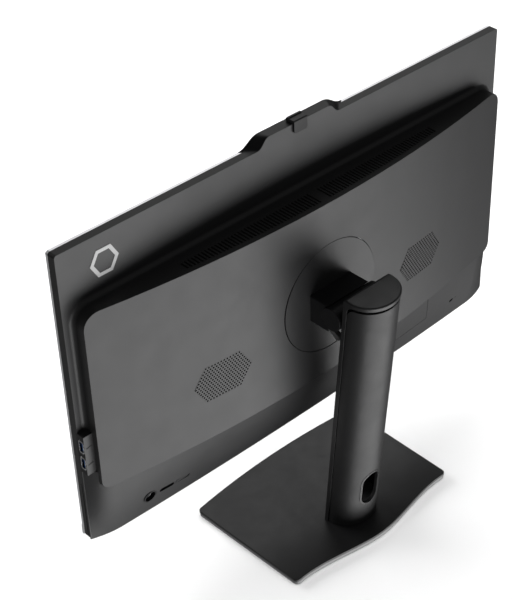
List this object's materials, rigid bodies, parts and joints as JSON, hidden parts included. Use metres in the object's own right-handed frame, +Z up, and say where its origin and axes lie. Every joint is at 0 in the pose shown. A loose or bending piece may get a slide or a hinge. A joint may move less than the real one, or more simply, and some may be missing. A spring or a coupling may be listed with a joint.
{
  "type": "all in one computer",
  "caption": "Desktop computer built into a flat screen, seen as a slab with a bowed rear housing, on a leaning height-adjustable column with a flat base.",
  "frame": {"origin": "on the floor under the middle of the whole object", "axes": "+Z up, -Y out of the screen towards the user, +X towards the edge with the side sockets"},
  "size_m": [0.6122, 0.1873, 0.4946],
  "materials": {
    "silver_trim": "satin",
    "screen_glass": "gloss",
    "panel_black": "matt",
    "gloss_black": "gloss",
    "steel_sheet": "brushed",
    "back_plastic": "satin",
    "control_plastic": "satin",
    "black_plastic": "matt",
    "socket_metal": "bright",
    "socket_blue": "satin",
    "board_green": "satin",
    "chip_grey": "satin",
    "pipe_copper": "satin",
    "screw_steel": "satin",
    "mark_white": "satin",
    "hinge_black": "satin",
    "lever_grey": "satin",
    "carriage_black": "matt",
    "column_shell": "satin",
    "column_cover": "satin",
    "ring_trim": "satin",
    "cast_grey": "satin",
    "base_dark": "satin",
    "base_edge": "satin",
    "foot_rubber": "matt"
  },
  "bodies": {
    "base": {"base_plate": "base_dark", "base_weight": "base_edge", "rubber_feet": "foot_rubber"},
    "column": {"column_shell": "column_shell", "column_cover": "column_cover", "cable_ring": "ring_trim", "slide_rail": "steel_sheet", "spring_drum": "carriage_black", "foot_block": "cast_grey", "retaining_disc": "steel_sheet", "swivel_screw": "screw_steel"},
    "carriage": {"carriage": "carriage_black", "tilt_bracket": "hinge_black", "tilt_pin": "screw_steel"},
    "display": {"front_frame": "silver_trim", "chin_bar": "silver_trim", "screen_glass": "screen_glass", "panel_module": "panel_black", "mid_plate": "steel_sheet", "webcam_window": "gloss_black", "webcam_module": "board_green", "rear_cover": "back_plastic", "louvre_left": "back_plastic", "louvre_right": "back_plastic", "grille_left": "back_plastic", "grille_right": "back_plastic", "mount_plate": "back_plastic", "mount_bracket": "steel_sheet", "mount_screws": "screw_steel", "port_block": "back_plastic", "port_shells": "socket_metal", "port_tongues": "socket_blue", "dc_inlet": "black_plastic", "dc_contacts": "socket_metal", "card_reader": "black_plastic", "button_switch": "black_plastic", "io_bracket": "steel_sheet", "io_sockets": "socket_metal", "main_board": "board_green", "processor": "chip_grey", "cold_plate": "chip_grey", "heat_pipe_left": "pipe_copper", "heat_pipe_right": "pipe_copper", "fin_stack_left": "chip_grey", "fin_stack_right": "chip_grey", "blower_housing_left": "black_plastic", "blower_housing_right": "black_plastic", "memory_modules": "board_green", "storage_card": "board_green", "wireless_card": "board_green", "speaker_left": "black_plastic", "speaker_right": "black_plastic", "badge": "mark_white", "head_block": "hinge_black"},
    "shutter": {"shutter_slider": "black_plastic"},
    "lever": {"release_lever": "lever_grey"},
    "button": {"power_button": "control_plastic"},
    "cover": {"port_cover": "back_plastic"},
    "fan_left": {"blower_rotor_left": "black_plastic"},
    "fan_right": {"blower_rotor_right": "black_plastic"}
  },
  "joints": [
    {"name": "swivel", "type": "hinge", "parent": "base", "child": "column", "pos_m": [0, 0.047, 0.0086], "axis": [0, 0, 1], "range_deg": [-45, 45]},
    {"name": "height", "type": "slide", "parent": "column", "child": "carriage", "axis": [0, 0.0889, 0.996], "range_m": [-0.105, 0]},
    {"name": "tilt", "type": "hinge", "parent": "carriage", "child": "display", "pos_m": [0, 0.0402, 0.3006], "axis": [1, 0, 0], "range_deg": [-20, 5]},
    {"name": "shutter_slide", "type": "slide", "parent": "display", "child": "shutter", "axis": [1, 0, 0], "range_m": [-0.005, 0.005]},
    {"name": "release_press", "type": "slide", "parent": "display", "child": "lever", "axis": [0, 0, 1], "range_m": [0, 0.002], "stiffness_N_per_m": 400},
    {"name": "power_press", "type": "slide", "parent": "display", "child": "button", "axis": [0, -0.959, 0.2835], "range_m": [0, 0.0012], "stiffness_N_per_m": 300},
    {"name": "cover_pull", "type": "slide", "parent": "display", "child": "cover", "axis": [0, 1, 0], "range_m": [0, 0.03]},
    {"name": "fan_left_spin", "type": "hinge", "parent": "display", "child": "fan_left", "pos_m": [0.1478, -0.02, 0.2698], "axis": [0, 1, 0], "continuous": true},
    {"name": "fan_right_spin", "type": "hinge", "parent": "display", "child": "fan_right", "pos_m": [-0.1478, -0.02, 0.2698], "axis": [0, 1, 0], "continuous": true}
  ]
}
